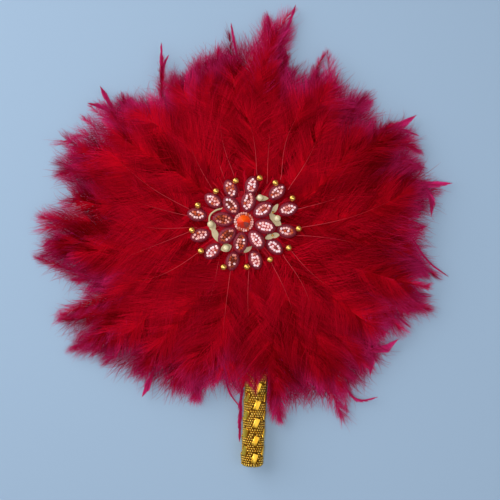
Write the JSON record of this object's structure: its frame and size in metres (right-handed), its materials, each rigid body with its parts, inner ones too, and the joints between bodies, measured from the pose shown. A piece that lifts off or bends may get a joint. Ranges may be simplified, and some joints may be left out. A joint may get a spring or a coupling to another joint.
{
  "type": "feather fan",
  "caption": "Round hand fan of overlapping dyed plumes on a disc base, with a sewn brooch of domed navettes, pearls and beads at its centre and a handle wrapped in gold jewelled mesh.",
  "frame": {"origin": "on the axis of the base discs, at the underside of the back cover, which lies on the table", "axes": "+Z out of the fan's front, +Y away from the handle, which points along -Y with a lean of about 3 degrees, +X to the right seen from the front"},
  "size_m": [0.3469, 0.3881, 0.0292],
  "materials": {
    "front_plumes": "soft down, crimson",
    "back_plumes": "soft down, deep crimson",
    "felt": "matte felt",
    "card": "board dyed red",
    "dowel_wood": "bare wood",
    "gold_mesh": "bright gilt mesh with flat bars",
    "champagne_leaf": "satin with a metal thread",
    "crystal_beads": "cut crystal, pink to peach",
    "orange_stone": "faceted, foil backed",
    "navette": "domed plum oval set with small crystals",
    "pearl": "pearl lustre",
    "gold_beads": "polished gilt"
  },
  "bodies": {
    "root": {"back_cover": "felt", "back_base_disc": "card", "front_base_disc": "card", "handle_dowel": "dowel_wood", "handle_wrap": "gold_mesh", "handle_end_cap": "gold_mesh", "front_plume_01": "front_plumes", "front_plume_02": "front_plumes", "front_plume_03": "front_plumes", "front_plume_04": "front_plumes", "front_plume_05": "front_plumes", "front_plume_06": "front_plumes", "front_plume_07": "front_plumes", "front_plume_08": "front_plumes", "front_plume_09": "front_plumes", "front_plume_10": "front_plumes", "front_plume_11": "front_plumes", "front_plume_12": "front_plumes", "back_plume_01": "back_plumes", "back_plume_02": "back_plumes", "back_plume_03": "back_plumes", "back_plume_04": "back_plumes", "back_plume_05": "back_plumes", "back_plume_06": "back_plumes", "back_plume_07": "back_plumes", "back_plume_08": "back_plumes", "back_plume_09": "back_plumes", "back_plume_10": "back_plumes", "back_plume_11": "back_plumes", "back_plume_12": "back_plumes", "brooch_backing": "felt", "leaf_layer": "champagne_leaf", "brooch_pad": "felt", "centre_setting": "crystal_beads", "centre_stone": "orange_stone", "inner_navette_01": "navette", "inner_navette_02": "navette", "inner_navette_03": "navette", "inner_navette_04": "navette", "inner_navette_05": "navette", "inner_navette_06": "navette", "inner_navette_07": "navette", "inner_navette_08": "navette", "outer_navette_01": "navette", "outer_navette_02": "navette", "outer_navette_03": "navette", "outer_navette_04": "navette", "outer_navette_05": "navette", "outer_navette_06": "navette", "outer_navette_07": "navette", "outer_navette_08": "navette", "outer_navette_09": "navette", "outer_navette_10": "navette", "outer_navette_11": "navette", "outer_navette_12": "navette", "pearl_01": "pearl", "pearl_02": "pearl", "pearl_03": "pearl", "pearl_04": "pearl", "gold_bead_strand": "gold_beads"}
  },
  "joints": []
}
